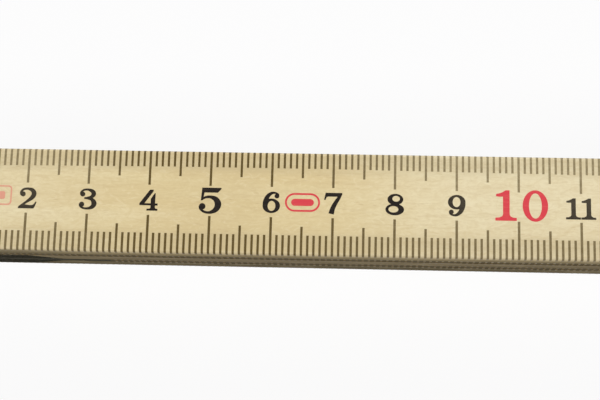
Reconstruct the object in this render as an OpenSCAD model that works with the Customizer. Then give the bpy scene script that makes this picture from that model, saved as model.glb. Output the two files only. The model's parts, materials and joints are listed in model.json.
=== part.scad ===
// Two metre wooden folding rule: ten flat legs joined by nine sprung pivot hinges.
// +X runs along the rule, +Y across its width, +Z up through the stack of legs.
// The origin is on the table, under the middle of the rule as it is drawn: the
// first legs are folded together to the left and the rest of the stack lies to
// the right, so one hinge stands open and all the others are closed.

/* [Legs] */
// Distance between the two pivots of a leg
leg_pitch = 196; // [150:1:230]
// Wood beyond the pivot at each end of a leg
end_over = 20; // [18:0.5:24]
// Width of a leg
leg_w = 17; // [15:0.5:20]
// Thickness of a leg
leg_t = 3.7; // [3:0.1:4.2]
// Air between two folded legs
leg_gap = 0.2; // [0.2:0.05:0.4]
// Rounding of the four long edges of a leg
edge_r = 0.4; // [0.2:0.05:0.6]
// Corner radius of a hinged leg end, seen from above
corner_r = 3.5; // [1:0.5:5]
// The hinge that stands open
open_hinge = 3; // [1:1:9]

/* [Hinge plates] */
// Sheet thickness of the two steel plates of a hinge
plate_t = 0.4; // [0.3:0.05:0.5]
// How far a plate stands proud of the wood, so that the legs never rub
plate_proud = 0.05; // [0.02:0.01:0.08]
// Reach of a plate from the pivot towards the middle of the leg
plate_in = 13; // [12:0.5:18]
// Reach of a plate from the pivot towards the end of the leg
plate_out = 16; // [13:0.5:17]
// Height of the side lugs that wrap over the edges of the leg
lug_h = 3; // [1.5:0.1:3.1]
// Length of the slope at which a lug runs out, towards the middle of the leg
lug_slope = 5.5; // [4:0.5:10]
// Gap between a lug and the wood around it
lug_gap = 0.06; // [0.03:0.01:0.1]
// Radius from the pivot to the detent bumps and sockets
detent_ring_r = 5; // [4.6:0.1:5.4]
// Height of a detent bump
detent_h = 0.06; // [0.03:0.01:0.07]

/* [Rivets] */
// Radius of the pivot rivet's shank
pivot_r = 2; // [1.5:0.1:2.4]
// Radial running clearance of the pivot rivet in the lower leg and plate
pivot_play = 0.05; // [0.03:0.01:0.08]
// Radius of the pivot rivet's two heads
pivot_head_r = 3.4; // [3:0.1:3.8]
// Thickness of a pivot rivet head
pivot_head_t = 0.5; // [0.4:0.05:0.7]
// Radius of a plate rivet's shank
pin_r = 0.8; // [0.6:0.05:1]
// Radius of a plate rivet's head
pin_head_r = 1.5; // [1.2:0.05:1.8]
// Distance of the plate rivets from the pivot, along the leg
pin_x = 9; // [8:0.25:10.5]
// How far every rivet head lies below the face of the wood
head_sink = 0.04; // [0.02:0.01:0.1]

/* [End caps] */
// Length of the steel cap on each end of the rule
cap_len = 9; // [7:0.5:12]
// Sheet thickness of a cap
cap_t = 0.3; // [0.25:0.05:0.4]
// Corner radius of a capped end, seen from above
cap_corner_r = 1.2; // [0.8:0.1:2]
// Radius of the cap's rivet
cap_pin_r = 0.9; // [0.6:0.05:1.1]

/* [Hidden] */
$fn = 64;
LEGS = 10;
leg_len = leg_pitch + 2 * end_over;
layer = leg_t + leg_gap;
far = leg_pitch + end_over;     // from a pivot to the far end of its leg
eps = 0.5;                      // overshoot of cutting tools

// ---- where the legs lie -------------------------------------------------

// 1 where a leg's scale runs towards +X, -1 where it runs towards -X
function leg_dir(k) = k <= open_hinge
    ? ((open_hinge - k) % 2 == 0 ? 1 : -1)
    : ((k - open_hinge - 1) % 2 == 0 ? 1 : -1);
// X of a leg's start end
function leg_x(k) = k <= open_hinge
    ? (leg_dir(k) > 0 ? -far : end_over)
    : (leg_dir(k) > 0 ? -end_over : far);
// height of a leg's underside: leg 1 is on top and leg 10 lies on the table
function leg_z(k) = (LEGS - k) * layer;

// leg frame: x from the leg's start end, y across, z up from its underside
module on_leg(k) {
    translate([leg_x(k), 0, leg_z(k)])
        rotate([0, 0, leg_dir(k) > 0 ? 0 : 180])
            children();
}

// joint frame: origin on the pivot axis where two legs face each other, +x
// towards the middle of the leg that holds the piece, +z into its wood
module under_leg_end(k) {
    on_leg(k) translate([end_over + leg_pitch, 0, 0]) rotate([0, 0, 180]) children();
}
module over_leg_start(k) {
    on_leg(k) translate([end_over, 0, leg_t]) mirror([0, 0, 1]) children();
}

// ---- profiles -----------------------------------------------------------

// rectangle with four rounded corners, x from -w/2, y from 0
module round_bar(w, t, r) {
    translate([-w / 2 + r, 0]) square([w - 2 * r, t]);
    translate([-w / 2, r]) square([w, t - 2 * r]);
    for (x = [-w / 2 + r, w / 2 - r], y = [r, t - r])
        translate([x, y]) circle(r = r);
}

// a profile drawn in Y and Z, run along +X
module along_x(len) {
    rotate([90, 0, 90]) linear_extrude(height = len) children();
}

// a profile drawn in X and Z, run across the leg from y0 to y1
module across(y0, y1) {
    translate([0, y1, 0]) rotate([90, 0, 0]) linear_extrude(height = y1 - y0) children();
}

// outline of a leg from above, with its own radius at each end
module leg_plan(r0, r1) {
    translate([r0, -leg_w / 2 - eps]) square([leg_len - r0 - r1, leg_w + 2 * eps]);
    translate([0, -leg_w / 2 + r0]) square([leg_len / 2, leg_w - 2 * r0]);
    translate([leg_len / 2, -leg_w / 2 + r1]) square([leg_len / 2, leg_w - 2 * r1]);
    for (y = [-1, 1]) {
        translate([r0, y * (leg_w / 2 - r0)]) circle(r = r0);
        translate([leg_len - r1, y * (leg_w / 2 - r1)]) circle(r = r1);
    }
}

// ---- hinge plates -------------------------------------------------------

// side view of a plate: the web along z = 0 with its lug, grown by g
module lug_side(g) {
    polygon([
        [-plate_out - g, -eps],
        [plate_in + g, -eps],
        [plate_in + g, plate_t + g],
        [lug_slope + g, plate_t + g],
        [g / 2, lug_h + g],
        [-plate_out + 3 - g / 2, lug_h + g],
        [-plate_out - g, 1.4 + g]
    ]);
}

// the steel sheet: a web on the wood and two lugs folded over the leg's edges
module plate_blank() {
    intersection() {
        translate([-plate_out - 1, 0, 0]) along_x(plate_in + plate_out + 2)
            difference() {
                translate([0, -plate_proud]) round_bar(leg_w, leg_t, edge_r + 0.05);
                translate([-leg_w / 2 + plate_t, plate_t - plate_proud]) square([leg_w - 2 * plate_t, leg_t]);
            }
        across(-leg_w / 2 - eps, leg_w / 2 + eps) lug_side(0);
    }
}

// the room that the sheet needs in the leg
module plate_pocket() {
    translate([-plate_out - lug_gap, -leg_w / 2 - eps, -eps])
        cube([plate_in + plate_out + 2 * lug_gap, leg_w + 2 * eps, eps + plate_t - plate_proud]);
    for (s = [-1, 1])
        across(s > 0 ? leg_w / 2 - plate_t : -leg_w / 2 - eps, s > 0 ? leg_w / 2 + eps : -leg_w / 2 + plate_t)
            lug_side(lug_gap);
}

// ---- rivets, in the joint frame ----------------------------------------

// plate rivet: countersunk in the plate, flat head sunk in the leg's far face
module plate_rivet(head_r) {
    rotate_extrude()
        polygon([
            [0, -plate_proud],
            [pin_r + plate_t, -plate_proud],
            [pin_r, plate_t - plate_proud],
            [pin_r, leg_t - head_sink - 0.35],
            [head_r, leg_t - head_sink - 0.35],
            [head_r, leg_t - head_sink - 0.12],
            [head_r - 0.12, leg_t - head_sink],
            [0, leg_t - head_sink]
        ]);
}

// the hole it fills
module plate_rivet_hole(head_r) {
    rotate_extrude()
        polygon([
            [0, -plate_proud - eps],
            [pin_r + plate_t + eps, -plate_proud - eps],
            [pin_r, plate_t - plate_proud],
            [pin_r, leg_t - head_sink - 0.35],
            [head_r, leg_t - head_sink - 0.35],
            [head_r, leg_t + eps],
            [0, leg_t + eps]
        ]);
}

module plate_rivet_places() {
    for (x = [-pin_x, pin_x]) translate([x, 0, 0]) children();
}

module plate_rivets() {
    plate_rivet_places() plate_rivet(pin_head_r);
}

// spring plate of a hinge, with two bumps that snap into the catch plate
module spring_plate() {
    difference() {
        union() {
            plate_blank();
            for (s = [-1, 1]) translate([0, s * detent_ring_r, 0]) intersection() {
                translate([0, 0, -plate_proud - detent_h + 5]) sphere(r = 5);
                translate([-2, -2, -1]) cube([4, 4, 1.1]);
            }
        }
        translate([0, 0, -eps]) cylinder(r = pivot_r, h = 2 * eps + plate_t);
        plate_rivet_places() plate_rivet_hole(pin_head_r);
    }
}

// catch plate: four sockets, so the hinge snaps at every quarter turn
module catch_plate() {
    difference() {
        plate_blank();
        for (a = [0 : 90 : 270]) rotate([0, 0, a]) translate([0, detent_ring_r, -plate_proud - 5 + 0.12])
            sphere(r = 5);
        translate([0, 0, -eps]) cylinder(r = pivot_r + pivot_play, h = 2 * eps + plate_t);
        plate_rivet_places() plate_rivet_hole(pin_head_r);
    }
}

// pivot rivet, from the sunk head in the upper leg to the one in the lower leg;
// z = 0 is the underside of the upper leg
module pivot_rivet() {
    top = leg_t - head_sink;
    low = -leg_gap - leg_t + head_sink;
    rotate_extrude()
        polygon([
            [0, low + 0.25],
            [0.9, low],
            [pivot_head_r - 0.15, low],
            [pivot_head_r, low + 0.15],
            [pivot_head_r, low + pivot_head_t],
            [pivot_r, low + pivot_head_t],
            [pivot_r, top - pivot_head_t],
            [pivot_head_r, top - pivot_head_t],
            [pivot_head_r, top - 0.15],
            [pivot_head_r - 0.15, top],
            [0.9, top],
            [0, top - 0.25]
        ]);
}

// ---- legs ---------------------------------------------------------------

module end_pocket(g) {
    // wood left inside an end cap; x from the leg's start end
    difference() {
        translate([-eps, -leg_w / 2 - eps, -eps]) cube([cap_len + eps, leg_w + 2 * eps, leg_t + 2 * eps]);
        translate([cap_t, -leg_w / 2 + cap_t, cap_t])
            cube([cap_len + 1, leg_w - 2 * cap_t, leg_t - 2 * cap_t]);
    }
}

module cap_shell() {
    difference() {
        intersection() {
            along_x(cap_len - g_cap) round_bar(leg_w, leg_t, edge_r);
            translate([0, 0, -eps]) linear_extrude(height = leg_t + 2 * eps) leg_plan(cap_corner_r, cap_corner_r);
        }
        translate([cap_t, -leg_w / 2 + cap_t, cap_t])
            cube([cap_len + 1, leg_w - 2 * cap_t, leg_t - 2 * cap_t]);
        translate([cap_len / 2, 0, 0]) cap_rivet_hole();
    }
}
g_cap = 0.05;                   // hairline between the cap's rim and the wood

module cap_rivet() {
    rotate_extrude()
        polygon([
            [0, 0.02], [cap_pin_r + cap_t - 0.02, 0.02], [cap_pin_r, cap_t],
            [cap_pin_r, leg_t - cap_t], [cap_pin_r + cap_t - 0.02, leg_t - 0.02], [0, leg_t - 0.02]
        ]);
}
module cap_rivet_hole() {
    rotate_extrude()
        polygon([
            [0, -eps], [cap_pin_r + cap_t + eps, -eps], [cap_pin_r, cap_t],
            [cap_pin_r, leg_t - cap_t], [cap_pin_r + cap_t + eps, leg_t + eps], [0, leg_t + eps]
        ]);
}

// a leg in its own frame; start and stop say which end has a hinge or a cap
module leg_wood(start_hinge, stop_hinge) {
    difference() {
        intersection() {
            along_x(leg_len) round_bar(leg_w, leg_t, edge_r);
            translate([0, 0, -eps]) linear_extrude(height = leg_t + 2 * eps)
                leg_plan(start_hinge ? corner_r : cap_corner_r, stop_hinge ? corner_r : cap_corner_r);
        }
        if (start_hinge) translate([end_over, 0, leg_t]) mirror([0, 0, 1]) {
            plate_pocket();
            plate_rivet_places() plate_rivet_hole(pin_head_r);
            // running bore and the sunk seat of the pivot rivet's lower head
            translate([0, 0, -eps]) cylinder(r = pivot_r + pivot_play, h = leg_t + 2 * eps);
            translate([0, 0, leg_t - head_sink - pivot_head_t - pivot_play])
                cylinder(r = pivot_head_r + pivot_play, h = pivot_head_t + 1);
        }
        if (stop_hinge) translate([end_over + leg_pitch, 0, 0]) rotate([0, 0, 180]) {
            plate_pocket();
            plate_rivet_places() plate_rivet_hole(pin_head_r);
            translate([0, 0, -eps]) cylinder(r = pivot_r, h = leg_t + 2 * eps);
            translate([0, 0, leg_t - head_sink - pivot_head_t])
                cylinder(r = pivot_head_r, h = pivot_head_t + 1);
        }
        if (!start_hinge) {
            end_pocket(0);
            translate([cap_len / 2, 0, 0]) cap_rivet_hole();
        }
        if (!stop_hinge) translate([leg_len, 0, 0]) mirror([1, 0, 0]) {
            end_pocket(0);
            translate([cap_len / 2, 0, 0]) cap_rivet_hole();
        }
    }
}

module leg(k) {
    color([0.88, 0.82, 0.66]) on_leg(k) leg_wood(k > 1, k < LEGS);
}

// ---- the pieces ---------------------------------------------------------

module spring_plate_at(k) { color([0.45, 0.46, 0.42]) under_leg_end(k) spring_plate(); }
module catch_plate_at(k) { color([0.52, 0.53, 0.5]) over_leg_start(k + 1) catch_plate(); }
module pivot_rivet_at(k) { color([0.72, 0.6, 0.32]) under_leg_end(k) pivot_rivet(); }
module spring_rivets_at(k) { color([0.72, 0.6, 0.32]) under_leg_end(k) plate_rivets(); }
module catch_rivets_at(k) { color([0.72, 0.6, 0.32]) over_leg_start(k + 1) plate_rivets(); }

module start_cap() { color([0.7, 0.7, 0.68]) on_leg(1) cap_shell(); }
module end_cap() { color([0.7, 0.7, 0.68]) on_leg(LEGS) translate([leg_len, 0, 0]) mirror([1, 0, 0]) cap_shell(); }
module start_cap_rivet() { color([0.72, 0.6, 0.32]) on_leg(1) translate([cap_len / 2, 0, 0]) cap_rivet(); }
module end_cap_rivet() { color([0.72, 0.6, 0.32]) on_leg(LEGS) translate([leg_len - cap_len / 2, 0, 0]) cap_rivet(); }

leg(1);  // leg_01
leg(2);  // leg_02
leg(3);  // leg_03
leg(4);  // leg_04
leg(5);  // leg_05
leg(6);  // leg_06
leg(7);  // leg_07
leg(8);  // leg_08
leg(9);  // leg_09
leg(10);  // leg_10
start_cap();
end_cap();
start_cap_rivet();
end_cap_rivet();
spring_plate_at(1);  // hinge_1_spring_plate
catch_plate_at(1);  // hinge_1_catch_plate
pivot_rivet_at(1);  // hinge_1_pivot_rivet
spring_rivets_at(1);  // hinge_1_spring_plate_rivets
catch_rivets_at(1);  // hinge_1_catch_plate_rivets
spring_plate_at(2);  // hinge_2_spring_plate
catch_plate_at(2);  // hinge_2_catch_plate
pivot_rivet_at(2);  // hinge_2_pivot_rivet
spring_rivets_at(2);  // hinge_2_spring_plate_rivets
catch_rivets_at(2);  // hinge_2_catch_plate_rivets
spring_plate_at(3);  // hinge_3_spring_plate
catch_plate_at(3);  // hinge_3_catch_plate
pivot_rivet_at(3);  // hinge_3_pivot_rivet
spring_rivets_at(3);  // hinge_3_spring_plate_rivets
catch_rivets_at(3);  // hinge_3_catch_plate_rivets
spring_plate_at(4);  // hinge_4_spring_plate
catch_plate_at(4);  // hinge_4_catch_plate
pivot_rivet_at(4);  // hinge_4_pivot_rivet
spring_rivets_at(4);  // hinge_4_spring_plate_rivets
catch_rivets_at(4);  // hinge_4_catch_plate_rivets
spring_plate_at(5);  // hinge_5_spring_plate
catch_plate_at(5);  // hinge_5_catch_plate
pivot_rivet_at(5);  // hinge_5_pivot_rivet
spring_rivets_at(5);  // hinge_5_spring_plate_rivets
catch_rivets_at(5);  // hinge_5_catch_plate_rivets
spring_plate_at(6);  // hinge_6_spring_plate
catch_plate_at(6);  // hinge_6_catch_plate
pivot_rivet_at(6);  // hinge_6_pivot_rivet
spring_rivets_at(6);  // hinge_6_spring_plate_rivets
catch_rivets_at(6);  // hinge_6_catch_plate_rivets
spring_plate_at(7);  // hinge_7_spring_plate
catch_plate_at(7);  // hinge_7_catch_plate
pivot_rivet_at(7);  // hinge_7_pivot_rivet
spring_rivets_at(7);  // hinge_7_spring_plate_rivets
catch_rivets_at(7);  // hinge_7_catch_plate_rivets
spring_plate_at(8);  // hinge_8_spring_plate
catch_plate_at(8);  // hinge_8_catch_plate
pivot_rivet_at(8);  // hinge_8_pivot_rivet
spring_rivets_at(8);  // hinge_8_spring_plate_rivets
catch_rivets_at(8);  // hinge_8_catch_plate_rivets
spring_plate_at(9);  // hinge_9_spring_plate
catch_plate_at(9);  // hinge_9_catch_plate
pivot_rivet_at(9);  // hinge_9_pivot_rivet
spring_rivets_at(9);  // hinge_9_spring_plate_rivets
catch_rivets_at(9);  // hinge_9_catch_plate_rivets
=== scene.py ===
import json
import math

import bpy
import numpy as np
from mathutils import Matrix, Vector
from mathutils.geometry import delaunay_2d_cdt


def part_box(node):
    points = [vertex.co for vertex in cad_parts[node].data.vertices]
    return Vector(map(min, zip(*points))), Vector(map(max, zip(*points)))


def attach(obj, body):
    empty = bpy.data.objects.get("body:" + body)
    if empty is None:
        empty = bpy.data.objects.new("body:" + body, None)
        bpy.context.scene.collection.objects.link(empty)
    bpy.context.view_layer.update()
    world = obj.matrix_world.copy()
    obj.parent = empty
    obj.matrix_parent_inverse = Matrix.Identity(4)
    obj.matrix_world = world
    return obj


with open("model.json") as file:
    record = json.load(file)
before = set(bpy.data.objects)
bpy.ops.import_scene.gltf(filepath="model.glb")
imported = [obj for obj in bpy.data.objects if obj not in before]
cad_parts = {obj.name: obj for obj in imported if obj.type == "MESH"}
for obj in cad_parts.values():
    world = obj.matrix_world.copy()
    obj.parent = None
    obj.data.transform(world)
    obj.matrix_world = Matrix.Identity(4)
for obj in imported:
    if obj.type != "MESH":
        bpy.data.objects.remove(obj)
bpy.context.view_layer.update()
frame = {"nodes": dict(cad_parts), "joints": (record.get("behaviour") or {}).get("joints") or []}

MM = 0.001

# ------------------------------------------------------------------ the rule's own numbers
LEGS = 10
LEN, WIDE = 236.0, 17.0                    # a leg, mm
THICK = round((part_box("leg_01")[1].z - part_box("leg_01")[0].z) / MM, 3)
EDGE_R, CORNER_R = 0.4, 3.5                # its rounded long edges and its corners
PITCH, OVER = 196.0, 20.0                  # pivot to pivot, pivot to leg end
CAP = 9.0
PLATE_IN, PLATE_OUT = 13.0, 16.0
OPEN = next(i + 1 for i, j in enumerate(frame["joints"]) if j["range_deg"][1] == 0)


def leg_dir(k):
    d = (OPEN - k) if k <= OPEN else (k - OPEN - 1)
    return 1 if d % 2 == 0 else -1


def leg_x(k):
    if k <= OPEN:
        return -(PITCH + OVER) if leg_dir(k) > 0 else OVER
    return -OVER if leg_dir(k) > 0 else PITCH + OVER


def leg_z(k):
    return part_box("leg_%02d" % k)[0].z / MM


def to_world(k, pts):
    """Points in a leg's own frame, mm, to the row frame, metres."""
    p = np.asarray(pts, float).copy()
    s = leg_dir(k)
    p[:, 0] = leg_x(k) + s * p[:, 0]
    p[:, 1] *= s
    p[:, 2] += leg_z(k)
    return p * MM


# ------------------------------------------------------------------ node helpers
def new_mat(name):
    m = bpy.data.materials.new(name)
    m.use_nodes = True
    nt = m.node_tree
    nt.nodes.clear()
    out = nt.nodes.new("ShaderNodeOutputMaterial")
    bsdf = nt.nodes.new("ShaderNodeBsdfPrincipled")
    nt.links.new(bsdf.outputs[0], out.inputs[0])
    return m, nt, bsdf


def node(nt, kind, **kw):
    n = nt.nodes.new(kind)
    for key, val in kw.items():
        if hasattr(n, key):
            setattr(n, key, val)
        else:
            n.inputs[key].default_value = val
    return n


def coords(nt, scale, offset=(0, 0, 0)):
    tc = nt.nodes.new("ShaderNodeTexCoord")
    mp = nt.nodes.new("ShaderNodeMapping")
    mp.inputs["Scale"].default_value = scale
    mp.inputs["Location"].default_value = offset
    nt.links.new(tc.outputs["Object"], mp.inputs["Vector"])
    return mp.outputs[0]


def noise(nt, vec, scale=1.0, detail=4.0, rough=0.5, distort=0.0):
    n = nt.nodes.new("ShaderNodeTexNoise")
    n.inputs["Scale"].default_value = scale
    n.inputs["Detail"].default_value = detail
    n.inputs["Roughness"].default_value = rough
    n.inputs["Distortion"].default_value = distort
    nt.links.new(vec, n.inputs["Vector"])
    return n.outputs["Fac"]


def ramp(nt, fac, stops, interp="LINEAR"):
    r = nt.nodes.new("ShaderNodeValToRGB")
    r.color_ramp.interpolation = interp
    el = r.color_ramp.elements
    while len(el) < len(stops):
        el.new(0.5)
    for e, (pos, col) in zip(el, stops):
        e.position = pos
        e.color = (*col, 1) if len(col) == 3 else col
    nt.links.new(fac, r.inputs[0])
    return r.outputs[0]


def math_node(nt, op, a, b=None, clamp=False):
    m = nt.nodes.new("ShaderNodeMath")
    m.operation = op
    m.use_clamp = clamp
    for i, v in enumerate((a, b)):
        if v is None:
            continue
        if isinstance(v, (int, float)):
            m.inputs[i].default_value = v
        else:
            nt.links.new(v, m.inputs[i])
    return m.outputs[0]


def span(nt, val, lo, hi, a=0.0, b=1.0, smooth=True):
    m = nt.nodes.new("ShaderNodeMapRange")
    m.interpolation_type = "SMOOTHSTEP" if smooth else "LINEAR"
    nt.links.new(val, m.inputs["Value"])
    m.inputs["From Min"].default_value = lo
    m.inputs["From Max"].default_value = hi
    m.inputs["To Min"].default_value = a
    m.inputs["To Max"].default_value = b
    return m.outputs["Result"]


def mix(nt, fac, a, b, blend="MIX"):
    m = nt.nodes.new("ShaderNodeMix")
    m.data_type = "RGBA"
    m.blend_type = blend
    for sock, v in ((m.inputs[0], fac), (m.inputs[6], a), (m.inputs[7], b)):
        if isinstance(v, (int, float)):
            sock.default_value = v
        elif isinstance(v, tuple):
            sock.default_value = (*v, 1)
        else:
            nt.links.new(v, sock)
    return m.outputs[2]


def bump(nt, bsdf, height, strength, dist):
    b = nt.nodes.new("ShaderNodeBump")
    b.inputs["Strength"].default_value = strength
    b.inputs["Distance"].default_value = dist
    nt.links.new(height, b.inputs["Height"])
    nt.links.new(b.outputs[0], bsdf.inputs["Normal"])
    return b


# ------------------------------------------------------------------ wood
def sides_of(k):
    """Tone of a leg's two long sides: (upper part, lower part). They are darker than the face, partly the wood's own
    tone and partly painted shade, and the lower part holds painted shade. The first three legs each get their own tones
    for this; the others differ at random.
    """
    if k <= 3:
        return ((0.330, 0.262, 0.145), (0.150, 0.120, 0.070)), ((0.175, 0.140, 0.085), (0.135, 0.108, 0.066)), \
               ((0.200, 0.162, 0.100), (0.160, 0.128, 0.080))
    t = float(np.random.RandomState(40 + k).uniform(0.80, 1.15))
    return (tuple(t * v for v in (0.290, 0.230, 0.135)), tuple(t * v for v in (0.210, 0.165, 0.095)))


def wood(name, k):
    """Pale close-grained hardwood under a thin satin varnish; the grain runs along X."""
    rnd = np.random.RandomState(100 + k)
    off = tuple(float(v) for v in rnd.uniform(-40, 40, 3))
    tone = float(rnd.uniform(-1, 1)) if k > 1 else 0.0
    m, nt, bsdf = new_mat(name)
    tc = nt.nodes.new("ShaderNodeTexCoord")
    sep = nt.nodes.new("ShaderNodeSeparateXYZ")
    nt.links.new(tc.outputs["Object"], sep.inputs[0])
    fibre = noise(nt, coords(nt, (260, 2300, 2300), off), 1.0, 5.0, 0.60, 0.8)
    curl = noise(nt, coords(nt, (620, 1250, 1250), off), 1.0, 4.0, 0.58, 1.4)
    band = noise(nt, coords(nt, (14, 300, 300), off), 1.0, 3.0, 0.5, 0.9)
    cloud = noise(nt, coords(nt, (34, 130, 130), off), 1.0, 3.0, 0.5, 0.5)
    base = ramp(nt, band, [(0.30, (0.665, 0.535, 0.285)), (0.52, (0.705, 0.585, 0.325)), (0.74, (0.735, 0.625, 0.375))])
    base = mix(nt, span(nt, cloud, 0.34, 0.68, 0.0, 0.55), base, (0.655, 0.515, 0.265))
    if k == 1:
        # painted sheen of the varnish: the face is paler towards both ends, either side of a yellower middle
        sheen_pale = math_node(nt, "ADD",
                         span(nt, sep.outputs[0], -0.152, -0.122, 0.0, 0.62),
                         span(nt, sep.outputs[0], -0.206, -0.172, 0.42, 0.0), clamp=True)
        base = mix(nt, sheen_pale, base, (0.770, 0.690, 0.480))
        base = mix(nt, span(nt, sep.outputs[1], -0.0010, -0.0055, 0.0, 0.24), base, (0.560, 0.440, 0.230))
        dusky = math_node(nt, "MULTIPLY", span(nt, sep.outputs[0], -0.176, -0.168), span(nt, sep.outputs[0], -0.152, -0.162))
        base = mix(nt, math_node(nt, "MULTIPLY", dusky, 0.22), base, (0.560, 0.430, 0.215))
    # the fine curly figure and the fibres
    base = mix(nt, span(nt, curl, 0.40, 0.66, 0.0, 0.30), base, (0.570, 0.440, 0.215))
    base = mix(nt, span(nt, curl, 0.46, 0.30, 0.0, 0.22), base, (0.800, 0.710, 0.480))
    base = mix(nt, span(nt, fibre, 0.46, 0.70, 0.0, 0.26), base, (0.520, 0.385, 0.190))
    # short dark flecks where rays and pores meet the surface
    vor = nt.nodes.new("ShaderNodeTexVoronoi")
    vor.inputs["Scale"].default_value = 1.0
    vor.inputs["Randomness"].default_value = 1.0
    nt.links.new(coords(nt, (420, 2700, 2700), off), vor.inputs["Vector"])
    dots = span(nt, vor.outputs["Distance"], 0.10, 0.26, 1.0, 0.0)
    where = span(nt, noise(nt, coords(nt, (60, 330, 330), off), 1.0, 2.0), 0.50, 0.64)
    fleck = math_node(nt, "MULTIPLY", dots, where)
    base = mix(nt, math_node(nt, "MULTIPLY", fleck, 0.36), base, (0.430, 0.290, 0.130))
    if tone:
        tint = (0.62, 0.47, 0.24) if tone < 0 else (0.78, 0.68, 0.46)
        base = mix(nt, abs(tone) * 0.18, base, tint)
    ay = math_node(nt, "ABSOLUTE", sep.outputs[1])
    # the varnish has yellowed where fingers run along the marks
    worn = noise(nt, coords(nt, (50, 500, 500), off), 1.0, 3.0, 0.6)
    haze = math_node(nt, "MULTIPLY", span(nt, ay, 0.0042, 0.0058), span(nt, worn, 0.30, 0.65, 0.22, 0.42))
    base = mix(nt, haze, base, (0.470, 0.375, 0.210))
    # the long sides: greyer and darker than the face, partly the wood's own tone and partly painted shade, darkest in
    # painted shade along the gaps between the legs
    z = math_node(nt, "SUBTRACT", sep.outputs[2], leg_z(k) * MM)
    wobble = math_node(nt, "MULTIPLY", noise(nt, coords(nt, (240, 900, 900), off), 1.0, 3.0), 0.00008)
    side = span(nt, math_node(nt, "ADD", ay, wobble), 0.00843, 0.00855)
    upper, lower = sides_of(k)[k - 1] if k <= 3 else sides_of(k)
    # painted shade: each side goes from its upper tone to its darker lower tone towards its bottom
    shaded_side_col = mix(nt, span(nt, z, 0.0004, THICK * MM - 0.0003), lower, upper)
    grime = noise(nt, coords(nt, (45, 700, 700), off), 1.0, 4.0, 0.6)
    shaded_side_col = mix(nt, span(nt, grime, 0.42, 0.72, 0.0, 0.40), shaded_side_col, (0.120, 0.092, 0.058))
    # painted shade in the gaps between the legs: dark at the bottom of each side and, on every leg but the first, at
    # its top too
    gap_shade = span(nt, z, 0.0002, 0.0011, 1.0, 0.0)
    if k > 1:
        gap_shade = math_node(nt, "MAXIMUM", gap_shade, span(nt, z, THICK * MM - 0.0008, THICK * MM - 0.0003))
    gap_shade = math_node(nt, "MULTIPLY", gap_shade, span(nt, ay, 0.00805, 0.00830, 0.0, 0.92))
    if k == 1:
        # painted light: the first leg's side is paler near its top edge, where more light falls on it
        shaded_side_col = mix(nt, span(nt, z, THICK * MM - 0.0013, THICK * MM - 0.0004), shaded_side_col, (0.520, 0.425, 0.260))
        # painted shadow: the first leg's side is darker at its left end
        shaded_side_col = mix(nt, span(nt, sep.outputs[0], -0.182, -0.200, 0.0, 0.60), shaded_side_col, (0.075, 0.062, 0.040))
    if k == 3:
        # painted shade: the third leg's side is darker towards the left, past x = -0.088 m
        shaded_side_col = mix(nt, span(nt, sep.outputs[0], -0.088, -0.112, 0.0, 0.90), shaded_side_col, (0.070, 0.058, 0.036))
    base = mix(nt, math_node(nt, "MULTIPLY", side, 0.94), base, shaded_side_col)
    # painted shade: darken the gaps between the legs
    base = mix(nt, gap_shade, base, (0.050, 0.036, 0.016))
    # end grain
    nrm = nt.nodes.new("ShaderNodeSeparateXYZ")
    nt.links.new(tc.outputs["Normal"], nrm.inputs[0])
    end = span(nt, math_node(nt, "ABSOLUTE", nrm.outputs[0]), 0.55, 0.85)
    pores = noise(nt, coords(nt, (500, 5200, 5200), off), 1.0, 2.0, 0.7)
    end_col = ramp(nt, pores, [(0.35, (0.240, 0.175, 0.095)), (0.65, (0.430, 0.335, 0.200))])
    base = mix(nt, end, base, end_col)
    nt.links.new(base, bsdf.inputs["Base Color"])
    rough = span(nt, fibre, 0.25, 0.75, 0.38, 0.54, smooth=False)
    rough = math_node(nt, "ADD", rough, math_node(nt, "MULTIPLY", side, 0.40))
    nt.links.new(rough, bsdf.inputs["Roughness"])
    nt.links.new(span(nt, side, 0.0, 1.0, 0.38, 0.0), bsdf.inputs["Specular IOR Level"])
    nt.links.new(span(nt, side, 0.0, 1.0, 0.18, 0.0), bsdf.inputs["Coat Weight"])
    bsdf.inputs["Coat Roughness"].default_value = 0.32
    height = math_node(nt, "ADD", fibre, math_node(nt, "MULTIPLY", curl, 0.7))
    height = math_node(nt, "SUBTRACT", height, math_node(nt, "MULTIPLY", fleck, 0.8))
    bump(nt, bsdf, height, 0.30, 0.00004)
    return m


# ------------------------------------------------------------------ metals
def metal(name, base, dark, rough, grain=(60, 1800, 1800), spot=0.5, edge=None):
    m, nt, bsdf = new_mat(name)
    brush = noise(nt, coords(nt, grain), 1.0, 4.0, 0.6)
    patch = noise(nt, coords(nt, (380, 380, 380)), 1.0, 5.0, 0.6, 0.4)
    pit = noise(nt, coords(nt, (2600, 2600, 2600)), 1.0, 2.0, 0.5)
    col = mix(nt, span(nt, brush, 0.3, 0.7, 0.0, 0.35), base, tuple(0.82 * v for v in base))
    col = mix(nt, span(nt, patch, 0.46, 0.72, 0.0, spot), col, dark)
    col = mix(nt, span(nt, pit, 0.60, 0.72, 0.0, 0.5), col, tuple(0.5 * v for v in dark))
    nt.links.new(col, bsdf.inputs["Base Color"])
    bsdf.inputs["Metallic"].default_value = 1.0
    if edge is not None:
        bsdf.inputs["Specular Tint"].default_value = (*edge, 1)
    r = math_node(nt, "ADD", span(nt, brush, 0.3, 0.7, rough - 0.06, rough + 0.08, smooth=False),
                  span(nt, patch, 0.46, 0.72, 0.0, 0.18))
    nt.links.new(r, bsdf.inputs["Roughness"])
    height = math_node(nt, "SUBTRACT", brush, math_node(nt, "MULTIPLY", pit, 0.5))
    bump(nt, bsdf, height, 0.25, 0.00002)
    return m


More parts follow.
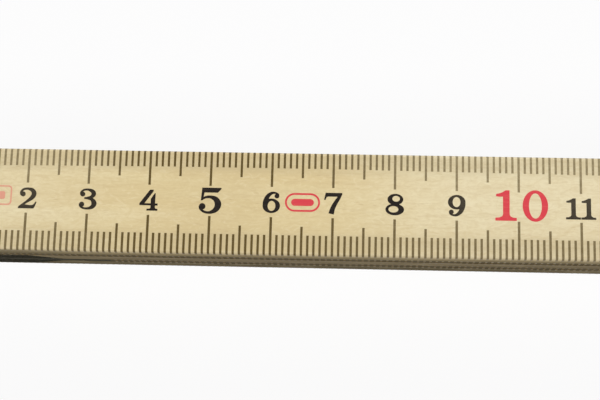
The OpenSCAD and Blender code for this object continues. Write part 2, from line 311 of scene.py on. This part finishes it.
# ------------------------------------------------------------------ printing ink
def ink(name, base, thin, rough, first=False, fade=0.0, gone=(0.660, 0.560, 0.345)):
    """Printed ink: a little uneven in density, with the wood's fibres telling through.
    On the first leg, the one that is used most, it has faded towards both ends."""
    m, nt, bsdf = new_mat(name)
    fibre = noise(nt, coords(nt, (120, 2600, 2600)), 1.0, 4.0, 0.6)
    mottle = noise(nt, coords(nt, (900, 1600, 1600)), 1.0, 3.0, 0.6)
    col = mix(nt, span(nt, fibre, 0.45, 0.75, 0.0, 0.45), base, thin)
    col = mix(nt, span(nt, mottle, 0.50, 0.75, 0.0, 0.35), col, thin)
    if first:
        tc = nt.nodes.new("ShaderNodeTexCoord")
        sep = nt.nodes.new("ShaderNodeSeparateXYZ")
        nt.links.new(tc.outputs["Object"], sep.inputs[0])
        start = -0.158 if fade > 0.1 else -0.134
        right = span(nt, sep.outputs[0], start, -0.121, 0.0, 1.0)
        left = span(nt, sep.outputs[0], -0.196, -0.176, 0.85, 0.0)
        far = span(nt, sep.outputs[1], -0.006, 0.004, 0.45, 1.0)
        amount = math_node(nt, "MULTIPLY", math_node(nt, "MAXIMUM", left, right), far)
        amount = math_node(nt, "MULTIPLY", amount, span(nt, mottle, 0.3, 0.7, 0.8 * fade, 1.2 * fade))
        if name == "ink_red_leg_01":
            amount = math_node(nt, "MAXIMUM", span(nt, sep.outputs[0], -0.1950, -0.1980, 0.0, 0.58), 0.0)
        col = mix(nt, amount, col, gone)
    nt.links.new(col, bsdf.inputs["Base Color"])
    nt.links.new(span(nt, fibre, 0.3, 0.7, rough - 0.05, rough + 0.1, smooth=False), bsdf.inputs["Roughness"])
    bsdf.inputs["Specular IOR Level"].default_value = 0.14
    bump(nt, bsdf, fibre, 0.25, 0.00002)
    return m


MAT_STEEL = metal("blackened_spring_steel", (0.078, 0.074, 0.058), (0.040, 0.037, 0.028), 0.45, edge=(0.16, 0.155, 0.135))
MAT_CATCH = metal("blackened_catch_steel", (0.085, 0.081, 0.064), (0.042, 0.038, 0.028), 0.43, edge=(0.16, 0.155, 0.135))
MAT_CAP = metal("cap_steel", (0.430, 0.420, 0.390), (0.210, 0.195, 0.155), 0.32, edge=(0.45, 0.44, 0.41))
MAT_BRASS = metal("rivet_brass", (0.620, 0.450, 0.200), (0.280, 0.185, 0.075), 0.28, (900, 900, 900), 0.45)
BLACK, BROWN, RED = (0.0125, 0.0085, 0.0062), (0.1050, 0.0700, 0.0200), (0.640, 0.052, 0.068)
INKS = {}
for first in (False, True):
    tag = "_leg_01" if first else ""
    INKS[first] = (ink("ink_figures" + tag, BLACK, (0.040, 0.028, 0.018), 0.48, first, 0.075),
                   ink("ink_marks" + tag, BROWN, (0.165, 0.115, 0.042), 0.48, first, 0.300),
                   ink("ink_red" + tag, RED, (0.700, 0.120, 0.100), 0.48, first, 0.0, (0.720, 0.500, 0.330)))

for name, ob in frame["nodes"].items():
    ob.data.materials.clear()
    if name.startswith("leg_"):
        ob.data.materials.append(wood("varnished_hardwood_" + name[-2:], int(name[-2:])))
    elif "rivet" in name:
        ob.data.materials.append(MAT_BRASS)
    elif "cap" in name:
        ob.data.materials.append(MAT_CAP)
    elif "catch" in name:
        ob.data.materials.append(MAT_CATCH)
    else:
        ob.data.materials.append(MAT_STEEL)


# ------------------------------------------------------------------ numerals
# Slab-serif figures in units of their own height, built from strokes of changing width,
# discs and plain polygons. Each entry adds (+1) or cuts away (-1) a closed outline.
def disc(cx, cy, rx, ry=None, n=28):
    ry = rx if ry is None else ry
    return [(cx + rx * math.cos(a), cy + ry * math.sin(a)) for a in np.linspace(0, 2 * math.pi, n, endpoint=False)]


def stroke(pts, per=6):
    p = np.array(pts, float)
    ext = np.vstack([2 * p[0] - p[1], p, 2 * p[-1] - p[-2]])
    path = []
    for i in range(1, len(ext) - 2):
        a, b, c, d = ext[i - 1], ext[i], ext[i + 1], ext[i + 2]
        for t in np.linspace(0, 1, per, endpoint=False):
            path.append(0.5 * ((2 * b) + (c - a) * t + (2 * a - 5 * b + 4 * c - d) * t * t + (3 * b - a - 3 * c + d) * t ** 3))
    path.append(p[-1])
    path = np.array(path)
    tan = np.gradient(path[:, :2], axis=0)
    tan /= np.linalg.norm(tan, axis=1)[:, None]
    nor = np.stack([-tan[:, 1], tan[:, 0]], 1)
    half = path[:, 2:3] / 2
    left, right = path[:, :2] + nor * half, path[:, :2] - nor * half
    return [tuple(v) for v in left] + [tuple(v) for v in right[::-1]]


def turned(ops, w):
    return [(s, [(w - x, 1.0 - y) for x, y in poly]) for s, poly in ops]


SIX = [
    (1, disc(0.405, 0.335, 0.405, 0.345, 36)),
    (-1, disc(0.415, 0.330, 0.180, 0.240, 30)),
    (1, stroke([(0.125, 0.30, 0.24), (0.130, 0.52, 0.235), (0.215, 0.76, 0.20), (0.385, 0.925, 0.14),
                (0.560, 0.955, 0.090), (0.690, 0.895, 0.085), (0.735, 0.830, 0.070)])),
    (1, disc(0.655, 0.805, 0.112)),
    (-1, disc(0.415, 0.330, 0.180, 0.240, 30)),
]

GLYPH = {
    "0": (0.81, [(1, disc(0.405, 0.5, 0.405, 0.515, 44)), (-1, disc(0.405, 0.5, 0.205, 0.415, 40))]),
    "1": (0.68, [
        (1, [(0.245, 0.03), (0.455, 0.03), (0.455, 1.0), (0.330, 1.0), (0.245, 0.93)]),
        (1, [(0.0, 0.0), (0.68, 0.0), (0.68, 0.095), (0.56, 0.105), (0.48, 0.15), (0.455, 0.22), (0.245, 0.22),
             (0.22, 0.15), (0.13, 0.105), (0.0, 0.095)]),
        (1, [(0.330, 1.0), (0.240, 0.940), (0.130, 0.895), (0.030, 0.875), (0.020, 0.800), (0.120, 0.785), (0.260, 0.790),
             (0.300, 0.860)]),
    ]),
    "2": (0.86, [
        (1, stroke([(0.105, 0.640, 0.060), (0.110, 0.790, 0.105), (0.225, 0.915, 0.105), (0.430, 0.945, 0.115),
                    (0.640, 0.870, 0.190), (0.720, 0.700, 0.225), (0.630, 0.520, 0.200), (0.430, 0.350, 0.130),
                    (0.210, 0.190, 0.100), (0.060, 0.060, 0.110)])),
        (1, disc(0.205, 0.690, 0.120)),
        (1, [(0.0, 0.0), (0.735, 0.0), (0.800, 0.130), (0.860, 0.315), (0.800, 0.330), (0.740, 0.220), (0.660, 0.165),
             (0.520, 0.160), (0.300, 0.190), (0.130, 0.180), (0.0, 0.070)]),
    ]),
    "3": (0.86, [
        (1, stroke([(0.095, 0.700, 0.060), (0.110, 0.820, 0.095), (0.235, 0.930, 0.095), (0.430, 0.952, 0.105),
                    (0.630, 0.875, 0.185), (0.700, 0.735, 0.215), (0.590, 0.600, 0.150), (0.360, 0.545, 0.085)])),
        (1, disc(0.190, 0.730, 0.115)),
        (1, [(0.270, 0.500), (0.600, 0.490), (0.620, 0.590), (0.270, 0.590)]),
        (1, stroke([(0.360, 0.540, 0.085), (0.610, 0.490, 0.160), (0.735, 0.300, 0.245), (0.650, 0.125, 0.190),
                    (0.430, 0.050, 0.105), (0.215, 0.075, 0.095), (0.090, 0.175, 0.095), (0.055, 0.280, 0.060)])),
        (1, disc(0.160, 0.245, 0.120)),
    ]),
    "4": (0.85, [
        (1, [(0.520, 0.030), (0.520, 0.560), (0.690, 0.830), (0.735, 0.830), (0.725, 0.030)]),
        (1, [(0.0, 0.255), (0.850, 0.245), (0.850, 0.345), (0.0, 0.350)]),
        (1, [(0.0, 0.350), (0.455, 0.985), (0.490, 1.0), (0.640, 1.0), (0.635, 0.930), (0.225, 0.340), (0.120, 0.255),
             (0.0, 0.255)]),
        (1, [(0.340, 0.0), (0.850, 0.0), (0.850, 0.085), (0.760, 0.095), (0.725, 0.150), (0.520, 0.150), (0.480, 0.095),
             (0.340, 0.085)]),
    ]),
    "5": (0.86, [
        (1, [(0.125, 1.0), (0.835, 1.0), (0.850, 0.965), (0.720, 0.815), (0.125, 0.815)]),
        (1, [(0.125, 1.0), (0.225, 1.0), (0.215, 0.815), (0.180, 0.590), (0.165, 0.520), (0.085, 0.505), (0.100, 0.700)]),
        (1, stroke([(0.110, 0.530, 0.050), (0.250, 0.625, 0.090), (0.445, 0.645, 0.115), (0.645, 0.560, 0.195),
                    (0.735, 0.365, 0.245), (0.650, 0.160, 0.195), (0.430, 0.050, 0.105), (0.215, 0.080, 0.090),
                    (0.080, 0.190, 0.090), (0.040, 0.300, 0.060)])),
        (1, disc(0.145, 0.280, 0.122)),
    ]),
    "6": (0.81, SIX),
    "7": (0.86, [
        (1, [(0.085, 1.0), (0.850, 1.0), (0.850, 0.900), (0.720, 0.825), (0.200, 0.825), (0.130, 0.790), (0.075, 0.660),
             (0.015, 0.675)]),
        (1, stroke([(0.765, 0.930, 0.150), (0.690, 0.760, 0.165), (0.545, 0.520, 0.190), (0.420, 0.260, 0.220),
                    (0.355, 0.0, 0.250)])),
    ]),
    "8": (0.86, [
        (1, disc(0.455, 0.745, 0.365, 0.265, 36)), (1, disc(0.430, 0.265, 0.430, 0.275, 38)),
        (-1, disc(0.490, 0.775, 0.175, 0.140, 28)), (-1, disc(0.370, 0.275, 0.230, 0.155, 30)),
    ]),
    "9": (0.81, turned(SIX, 0.81)),
}


def inside(poly, x, y):
    hit = False
    j = len(poly) - 1
    for i in range(len(poly)):
        xi, yi = poly[i]
        xj, yj = poly[j]
        if (yi > y) != (yj > y) and x < (xj - xi) * (y - yi) / (yj - yi) + xi:
            hit = not hit
        j = i
    return hit


def winding(poly, x, y):
    w = 0
    n = len(poly)
    for i in range(n):
        x0, y0 = poly[i]
        x1, y1 = poly[(i + 1) % n]
        cr = (x1 - x0) * (y - y0) - (x - x0) * (y1 - y0)
        if y0 <= y < y1 and cr > 0:
            w += 1
        elif y1 <= y < y0 and cr < 0:
            w -= 1
    return w != 0


def flatten(ops):
    """Triangles of the shape that the outlines add up to: (points, triangles, border edges)."""
    vs, es = [], []
    for _, poly in ops:
        n0 = len(vs)
        vs += [Vector((float(x), float(y))) for x, y in poly]
        es += [(n0 + i, n0 + (i + 1) % len(poly)) for i in range(len(poly))]
    pts, _, tris, _, _, _ = delaunay_2d_cdt(vs, es, [], 0, 1e-5)
    keep = []
    for t in tris:
        cx = sum(pts[i].x for i in t) / 3
        cy = sum(pts[i].y for i in t) / 3
        on = False
        for s, poly in ops:
            if winding(poly, cx, cy):
                on = s > 0
        if on:
            a, b, c = (pts[i] for i in t)
            area = (b.x - a.x) * (c.y - a.y) - (c.x - a.x) * (b.y - a.y)
            if abs(area) > 1e-9:
                keep.append(tuple(t) if area > 0 else (t[0], t[2], t[1]))
    used = sorted({i for t in keep for i in t})
    new = {old: i for i, old in enumerate(used)}
    tri = [tuple(new[i] for i in t) for t in keep]
    half = {(t[i], t[(i + 1) % 3]) for t in tri for i in range(3)}
    rim = [e for e in half if (e[1], e[0]) not in half]
    return np.array([(pts[i].x, pts[i].y) for i in used], float).reshape(-1, 2), tri, sorted(rim)


FLAT = {d: flatten(ops) for d, (w, ops) in GLYPH.items()}


def moved(ops, s, dx, dy):
    return [(sign, [(x * s + dx, y * s + dy) for x, y in poly]) for sign, poly in ops]


def label(cm):
    """Figures of a centimetre number: [(digit, left, baseline, height)], left counted from the mark."""
    text = str(cm)
    if cm % 10 == 0:
        h = 5.05 if cm < 100 else 3.95
        gap, mid = (0.19 if cm < 100 else 0.09), 0.30
    elif cm % 5 == 0:
        h = 4.35 if cm < 100 else 3.85
        gap, mid = 0.07, 0.20
    else:
        h, gap, mid = 3.5, 0.07, 0.12
    xs, x = [], 0.0
    for i, d in enumerate(text):
        if i:
            x += 0.02 if text[i - 1] == "1" and d == "1" else gap
        xs.append(x)
        x += GLYPH[d][0]
    shift = 0.45 if cm == 10 else 0.0
    return [(d, (xi - x / 2) * h + shift, mid - h / 2, h) for d, xi in zip(text, xs)]


# ------------------------------------------------------------------ the ink's meshes
UP, DOWN = 0.025, -0.020    # top and bottom of the ink film against the wood, mm


class Film:
    def __init__(self):
        self.v, self.f, self.m, self.n = [], [], [], 0

    def add(self, pts, faces, slot=0):
        self.v.append(np.asarray(pts, float))
        self.f += [tuple(i + self.n for i in face) for face in faces]
        self.m += [slot] * len(faces)
        self.n += len(pts)

    def slab(self, flat, s, dx, dy, under):
        pts, tri, rim = flat
        n = len(pts)
        xy = pts * s + (dx, dy)
        top = np.column_stack([xy, np.full(n, THICK + UP)])
        bot = np.column_stack([xy, np.full(n, THICK + DOWN)])
        faces = list(tri) + [(a + n, c + n, b + n) for a, b, c in tri]
        faces += [(a + n, b + n, b, a) for a, b in rim]
        self.add(flip(np.vstack([top, bot]), under), faces)

    def tick(self, x, length, far, under, wide, outer=None, drop=0.25):
        """A mark from the leg's edge inwards; over the rounding unless outer says where it starts."""
        w = wide / 2
        y1 = WIDE / 2
        prof = [(y1 - length, THICK, 0.0, 1.0)]
        if outer is None:
            prof.append((y1 - EDGE_R, THICK, 0.0, 1.0))
            for a in (60, 30, 0):
                c, sn = math.cos(math.radians(a)), math.sin(math.radians(a))
                prof.append((y1 - EDGE_R + EDGE_R * c, THICK - EDGE_R + EDGE_R * sn, c, sn))
            prof.append((y1, THICK - EDGE_R - drop, 1.0, 0.0))
        else:
            prof.append((outer, THICK, 0.0, 1.0))
        pts = []
        for y, z, ny, nz in prof:
            o = (y + UP * ny, z + UP * nz)
            i = (y + DOWN * ny, z + DOWN * nz)
            pts += [(-w, *o), (w, *o), (-w, *i), (w, *i)]
        m = len(prof)
        faces = [(0, 2, 3, 1), (4 * m - 4, 4 * m - 3, 4 * m - 1, 4 * m - 2)]
        for j in range(m - 1):
            a, b = 4 * j, 4 * j + 4
            faces += [(a, a + 1, b + 1, b), (a + 2, b + 2, b + 3, a + 3), (a, b, b + 2, a + 2), (a + 1, a + 3, b + 3, b + 1)]
        p = np.array(pts)
        if not far:
            p[:, :2] *= -1
        p[:, 0] += x
        self.add(flip(p, under), faces, 1)

    def build(self, name, k, mats):
        if not self.v:
            return None
        me = bpy.data.meshes.new(name)
        me.from_pydata(to_world(k, np.vstack(self.v)).tolist(), [], self.f)
        for mat in mats:
            me.materials.append(mat)
        me.polygons.foreach_set("material_index", self.m)
        me.update()
        ob = bpy.data.objects.new(name, me)
        bpy.context.scene.collection.objects.link(ob)
        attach(ob, "leg_%d" % k)
        return ob


def flip(p, under):
    if under:
        p = p.copy()
        p[:, 1] *= -1
        p[:, 2] = THICK - p[:, 2]
    return p


def blocked(k, under):
    """Stretches of a leg's face that a plate or cap covers, and the rivet heads in it."""
    gaps, heads = [], []
    if k == 1:
        gaps.append((-1.0, CAP + 0.15))
    else:
        if under:
            heads += [(OVER, 3.55), (OVER - 9, 1.6), (OVER + 9, 1.6)]
        else:
            gaps.append((OVER - PLATE_OUT - 0.25, OVER + PLATE_IN + 0.25))
    end = OVER + PITCH
    if k == LEGS:
        gaps.append((LEN - CAP - 0.15, LEN + 1))
    else:
        if under:
            gaps.append((end - PLATE_IN - 0.25, end + PLATE_OUT + 0.25))
        else:
            heads += [(end, 3.5), (end - 9, 1.6), (end + 9, 1.6)]
    return gaps, heads


def scale_of(k):
    black, red = Film(), Film()
    start = PITCH * (k - 1)
    for under in (False, True):
        gaps, heads = blocked(k, under)
        lugs = (OVER - PLATE_OUT, OVER + PLATE_IN) if under else (OVER + PITCH - PLATE_IN, OVER + PITCH + PLATE_OUT)
        first, last = math.ceil(start + 0.4), math.floor(start + LEN - 0.4)
        for r in range(first, last + 1):
            u = r - start
            if any(a - 0.15 < u < b + 0.15 for a, b in gaps):
                continue
            outer = None
            rad = CORNER_R if not ((k == 1 and u < 20) or (k == LEGS and u > 216)) else 1.2
            e = min(u, LEN - u)
            if e < rad + 0.2:
                e = min(e, rad)
                outer = WIDE / 2 - rad + math.sqrt(max(rad * rad - (rad - e) ** 2, 0)) - 0.12
            for far, lens in ((True, (2.65, 4.25, 5.80)), (False, (3.2, 4.65, 6.15))):
                length = lens[2] if r % 10 == 0 else lens[1] if r % 5 == 0 else lens[0]
                if k == 1 and far and not under:      # the print sits a little askew on the first leg
                    length += 0.30 * max(0.0, min(r - 70, 45)) / 45
                    if r % 10:
                        length += 0.24 * max(0.0, 45 - r) / 30
                for hx, hr in heads:
                    if abs(u - hx) < hr:
                        length = min(length, WIDE / 2 - math.sqrt(hr * hr - (u - hx) ** 2) - 0.1)
                if outer is not None and outer - (WIDE / 2 - length) < 0.4:
                    continue
                black.tick(u, length, far, under, (0.360 if far else 0.385) + (0 if r % 10 else 0.02), outer,
                           0.25 if lugs[0] - 0.5 < u < lugs[1] + 0.5 else 0.70)
        for cm in range(1, 200):
            u = cm * 10 - start
            if not 0 < u < LEN:
                continue
            if cm == 199:
                u -= 3.4
            figs = label(cm)
            if cm == 11:
                figs = [(d, x - 0.05, y - 0.18, h) for d, x, y, h in figs]
            if cm == 2:
                figs = [(d, x + 0.14, y, h) for d, x, y, h in figs]
            lo = min(x for _, x, _, _ in figs)
            hi = max(x + GLYPH[d][0] * h for d, x, _, h in figs)
            if u + lo < 0.8 or u + hi > LEN - 0.8 or any(a < u + hi and u + lo < b for a, b in gaps):
                continue
            film = red if cm % 10 == 0 else black
            near = [(hx, hr) for hx, hr in heads if u + lo < hx + hr and hx - hr < u + hi]
            if any(abs(hx - u) < 0.55 * hr for hx, hr in near if hr > 2):
                continue
            for d, x, y, h in figs:
                cut = [(hx, hr) for hx, hr in near if u + x < hx + hr and hx - hr < u + x + GLYPH[d][0] * h]
                if cut:
                    ops = moved(GLYPH[d][1], h, u + x, y) + [(-1, disc(hx, 0, hr, hr, 40)) for hx, hr in cut]
                    flat = flatten(ops)
                    if len(flat[1]):
                        film.slab(flat, 1.0, 0, 0, under)
                else:
                    film.slab(FLAT[d], h, u + x, y, under)
        if k == 1 and not under:
            marks(red)
    return black, red


def pill(cx, cy, w, h, n=14):
    r = h / 2
    a1 = np.linspace(-math.pi / 2, math.pi / 2, n)
    a2 = np.linspace(math.pi / 2, 3 * math.pi / 2, n)
    return ([(cx + w / 2 - r + r * math.cos(a), cy + r * math.sin(a)) for a in a1]
            + [(cx - w / 2 + r + r * math.cos(a), cy + r * math.sin(a)) for a in a2])


def round_box(cx, cy, w, h, r, n=6):
    out = []
    for sx, sy, a0 in ((1, 1, 0), (-1, 1, 90), (-1, -1, 180), (1, -1, 270)):
        for a in np.linspace(a0, a0 + 90, n):
            out.append((cx + sx * (w / 2 - r) + r * math.cos(math.radians(a)), cy + sy * (h / 2 - r) + r * math.sin(math.radians(a))))
    return out


def marks(film):
    """Two plain ornaments on the first leg: an oval in a ring and a block in a rounded box."""
    ops = [(1, pill(65.05, 0.19, 5.7, 3.1)), (-1, pill(65.05, 0.19, 5.1, 2.5)),
           (1, pill(65.05, 0.19, 3.7, 1.15))]
    film.slab(flatten(ops), 1.0, 0, 0, False)
    ops = [(1, round_box(14.3, 0.53, 6.4, 3.3, 0.6)), (-1, round_box(14.3, 0.53, 5.95, 2.85, 0.42)),
           (1, round_box(15.9, 0.53, 1.0, 1.3, 0.3))]
    film.slab(flatten(ops), 1.0, 0, 0, False)


for k in range(1, LEGS + 1):
    black, red = scale_of(k)
    black.build("scale_black_leg_%02d" % k, k, INKS[k == 1][:2])
    red.build("scale_red_leg_%02d" % k, k, INKS[k == 1][2:])

# ------------------------------------------------------------------ floor, light, camera
def floor_mat():
    """White acrylic sweep, lit a little from behind like a light table, so shadows stay faint."""
    m, nt, bsdf = new_mat("pale_floor")
    n = noise(nt, coords(nt, (6, 6, 6)), 1.0, 3.0)
    nt.links.new(mix(nt, n, (0.076, 0.076, 0.076), (0.080, 0.080, 0.080)), bsdf.inputs["Base Color"])
    bsdf.inputs["Roughness"].default_value = 0.9
    bsdf.inputs["Specular IOR Level"].default_value = 0.0
    bsdf.inputs["Emission Color"].default_value = (1.0, 0.998, 1.0, 1)
    bsdf.inputs["Emission Strength"].default_value = 0.894
    return m


rim = [(4.5, 0.0)] + [(4.5 + 1.5 * math.sin(a), 1.5 - 1.5 * math.cos(a)) for a in np.linspace(0.1, math.pi / 2, 12)]
SEG = 64
vs = [(r * math.cos(2 * math.pi * i / SEG), r * math.sin(2 * math.pi * i / SEG), z - 0.00002)
      for r, z in rim for i in range(SEG)]
fs = [tuple(range(SEG))] + [(j * SEG + (i + 1) % SEG, j * SEG + i, (j + 1) * SEG + i, (j + 1) * SEG + (i + 1) % SEG)
                            for j in range(len(rim) - 1) for i in range(SEG)]
me = bpy.data.meshes.new("floor")
me.from_pydata(vs, [], fs)
me.polygons.foreach_set("use_smooth", [True] * len(me.polygons))
me.materials.append(floor_mat())
floor = bpy.data.objects.new("floor", me)
bpy.context.scene.collection.objects.link(floor)


def area(name, pos, target, size, power, size_y=None, color=(1, 1, 1)):
    li = bpy.data.lights.new(name, "AREA")
    li.shape = "RECTANGLE"
    li.size = size
    li.size_y = size_y or size
    li.energy = power
    li.color = color
    ob = bpy.data.objects.new(name, li)
    bpy.context.scene.collection.objects.link(ob)
    d = Vector(target) - Vector(pos)
    ob.matrix_world = Matrix.Translation(Vector(pos)) @ d.to_track_quat("-Z", "Y").to_matrix().to_4x4()
    return ob


area("back_softbox", (0.15, 1.25, 1.30), (0.0, 0.0, 0.0), 1.5, 20.5, 0.9)
area("front_softbox", (-0.10, -0.70, 1.60), (0.0, 0.0, 0.0), 1.4, 19.0, 0.7)

w = bpy.data.worlds.new("studio")
w.use_nodes = True
bg = w.node_tree.nodes["Background"]
bg.inputs[0].default_value = (1.0, 1.0, 1.0, 1)
bg.inputs[1].default_value = 0.13
bpy.context.scene.world = w
bpy.context.scene.view_settings.view_transform = "Standard"
bpy.context.scene.view_settings.look = "None"

cam_data = bpy.data.cameras.new("camera")
cam_data.sensor_width = 36.0
cam_data.lens = 88.82
cam_data.clip_start = 0.005
cam_data.clip_end = 50.0
cam = bpy.data.objects.new("camera", cam_data)
bpy.context.scene.collection.objects.link(cam)
top_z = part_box("leg_01")[1].z
x0 = leg_x(1) * MM
right = Vector((0.99917552, 0.02604107, -0.03114721))
up = Vector((-0.01803843, 0.97205824, 0.23404571))
back = Vector((0.0363717, -0.2332909, 0.97172653))
rot = Matrix((right, up, back)).transposed()
pos = Vector((x0 + 73.374 * MM, -55.455 * MM, top_z + 233.460 * MM))
cam.matrix_world = Matrix.Translation(pos) @ rot.to_4x4()
bpy.context.scene.camera = cam
